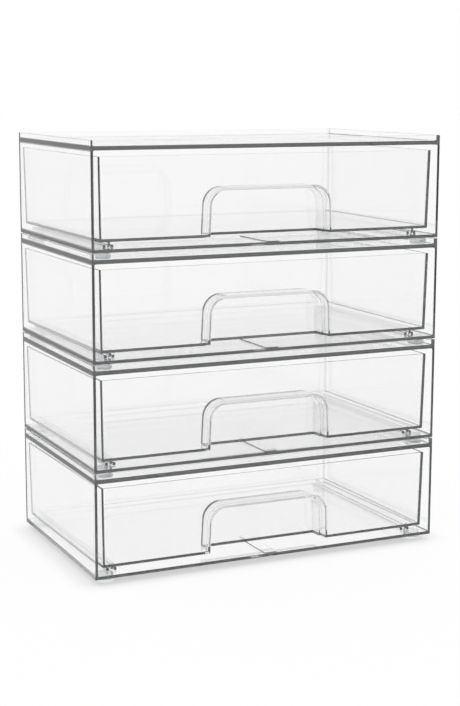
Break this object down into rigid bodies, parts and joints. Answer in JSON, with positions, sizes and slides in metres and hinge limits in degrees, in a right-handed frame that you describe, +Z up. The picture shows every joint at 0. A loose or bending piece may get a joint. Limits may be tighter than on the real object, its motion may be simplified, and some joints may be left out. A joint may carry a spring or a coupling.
{
  "type": "stackable_organizer_drawers",
  "caption": "Clear plastic stackable organizer drawers: open-front cases with a raised rim, each with a sliding drawer that has an arched finger pull, on round silicone feet",
  "frame": {"origin": "middle of the footprint, on the surface that the bottom unit's feet stand on", "axes": "+X to the right across the drawer fronts, +Y from the front to the back, +Z up; the drawers pull out along -Y"},
  "size_m": [0.309, 0.184, 0.3484],
  "materials": {
    "clear_case": "clear polished moulded plastic",
    "clear_drawer": "clear polished moulded plastic with drafted walls",
    "silicone_foot": "translucent satin silicone"
  },
  "bodies": {
    "unit_bottom": {"case_bottom": "clear_case", "foot_bottom_front_left": "silicone_foot", "foot_bottom_front_right": "silicone_foot", "foot_bottom_back_left": "silicone_foot", "foot_bottom_back_right": "silicone_foot"},
    "drawer_bottom": {"drawer_bottom": "clear_drawer"},
    "unit_lower": {"case_lower": "clear_case", "foot_lower_front_left": "silicone_foot", "foot_lower_front_right": "silicone_foot", "foot_lower_back_left": "silicone_foot", "foot_lower_back_right": "silicone_foot"},
    "drawer_lower": {"drawer_lower": "clear_drawer"},
    "unit_upper": {"case_upper": "clear_case", "foot_upper_front_left": "silicone_foot", "foot_upper_front_right": "silicone_foot", "foot_upper_back_left": "silicone_foot", "foot_upper_back_right": "silicone_foot"},
    "drawer_upper": {"drawer_upper": "clear_drawer"},
    "unit_top": {"case_top": "clear_case", "foot_top_front_left": "silicone_foot", "foot_top_front_right": "silicone_foot", "foot_top_back_left": "silicone_foot", "foot_top_back_right": "silicone_foot"},
    "drawer_top": {"drawer_top": "clear_drawer"}
  },
  "joints": [
    {"name": "pull_drawer_bottom", "type": "slide", "parent": "unit_bottom", "child": "drawer_bottom", "axis": [0, -1, 0], "range_m": [0, 0.14]},
    {"name": "pull_drawer_lower", "type": "slide", "parent": "unit_lower", "child": "drawer_lower", "axis": [0, -1, 0], "range_m": [0, 0.14]},
    {"name": "lift_unit_lower", "type": "slide", "parent": "unit_bottom", "child": "unit_lower", "axis": [0, 0, 1], "range_m": [0, 0.1]},
    {"name": "pull_drawer_upper", "type": "slide", "parent": "unit_upper", "child": "drawer_upper", "axis": [0, -1, 0], "range_m": [0, 0.14]},
    {"name": "lift_unit_upper", "type": "slide", "parent": "unit_lower", "child": "unit_upper", "axis": [0, 0, 1], "range_m": [0, 0.1]},
    {"name": "pull_drawer_top", "type": "slide", "parent": "unit_top", "child": "drawer_top", "axis": [0, -1, 0], "range_m": [0, 0.14]},
    {"name": "lift_unit_top", "type": "slide", "parent": "unit_upper", "child": "unit_top", "axis": [0, 0, 1], "range_m": [0, 0.1]}
  ]
}
